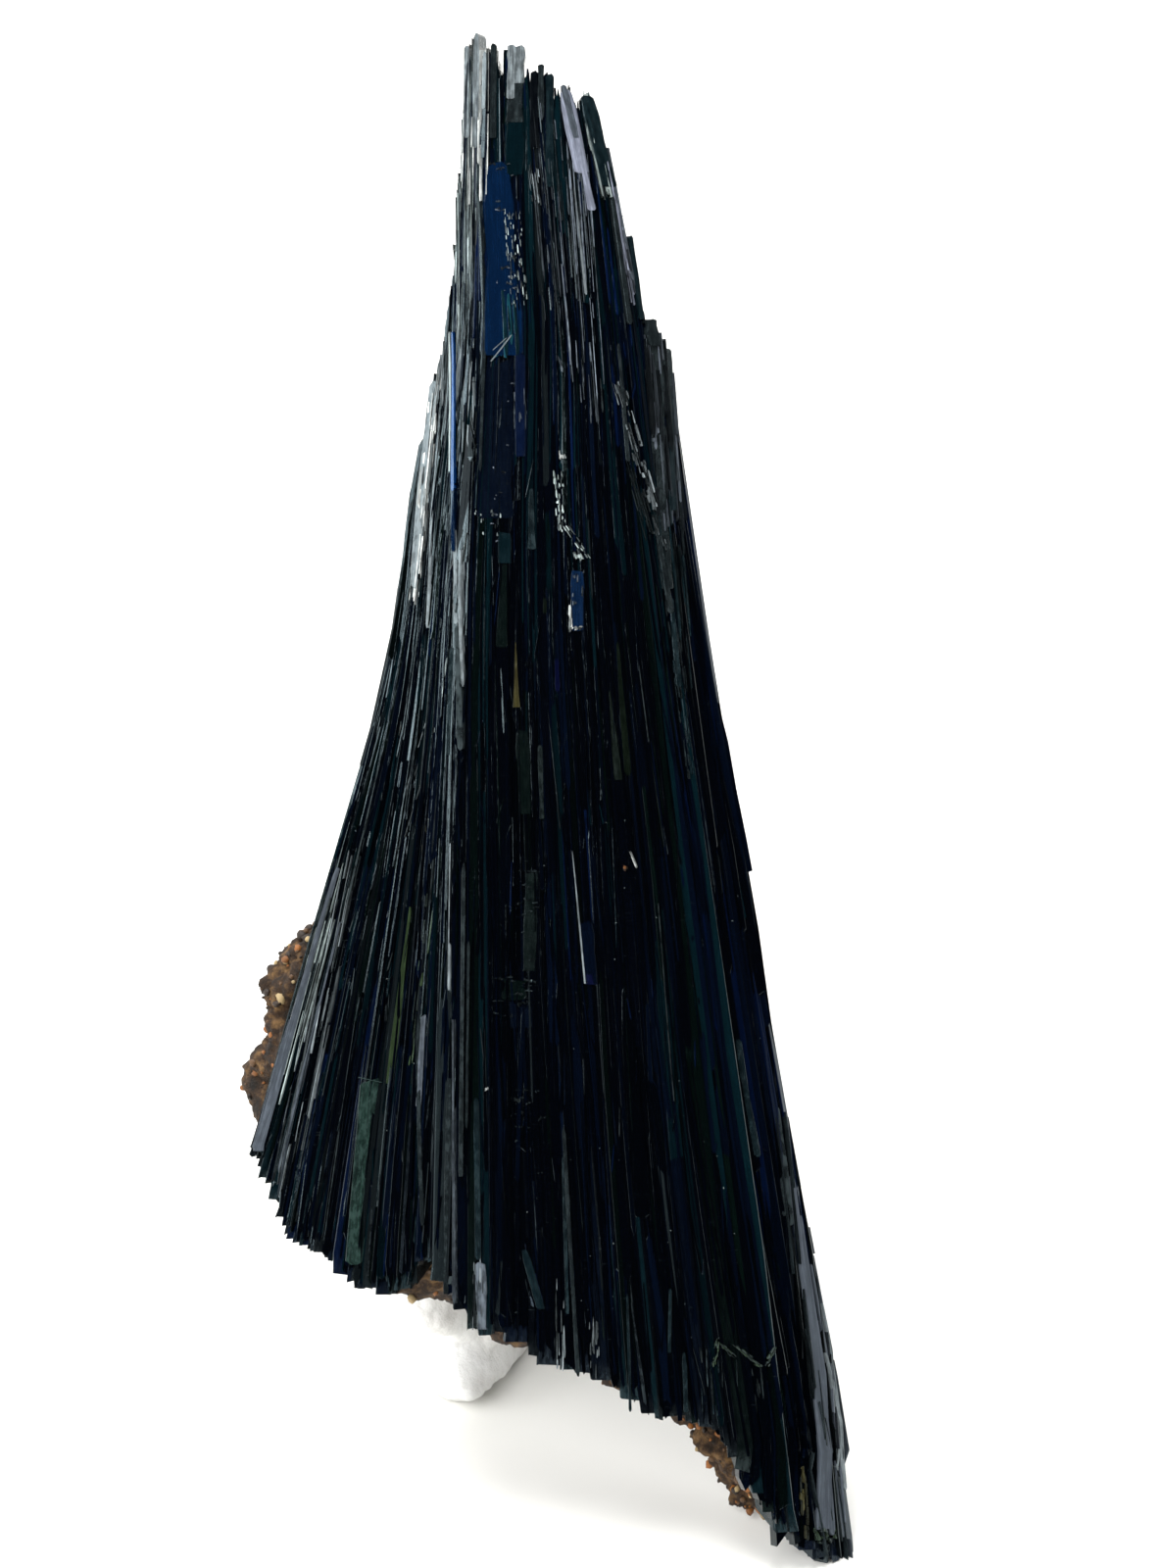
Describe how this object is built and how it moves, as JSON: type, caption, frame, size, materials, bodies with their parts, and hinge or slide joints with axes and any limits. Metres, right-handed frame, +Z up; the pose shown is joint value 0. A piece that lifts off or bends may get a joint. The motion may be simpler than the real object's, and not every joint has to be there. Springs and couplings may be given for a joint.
{
  "type": "vivianite crystal fan",
  "caption": "Tall fan of dark radiating crystal blades with a broken foot and brown crust, standing on its tip and leaning back on a lump of white putty.",
  "frame": {"origin": "centre of the object's box, on the floor that its tip and its putty stand on", "axes": "+Z up; +Y away from the fan's front face, so the viewer stands at -Y; +X to the viewer's right, towards the lowest tip"},
  "size_m": [0.0418, 0.0516, 0.0907],
  "materials": {
    "vivianite": "glassy, near black with deep blue and green",
    "limonite": "earthy, granular brown",
    "putty": "matt white, crumbly"
  },
  "bodies": {
    "root": {"vivianite_fan": "vivianite", "limonite_crust": "limonite", "white_putty": "putty"}
  },
  "joints": []
}
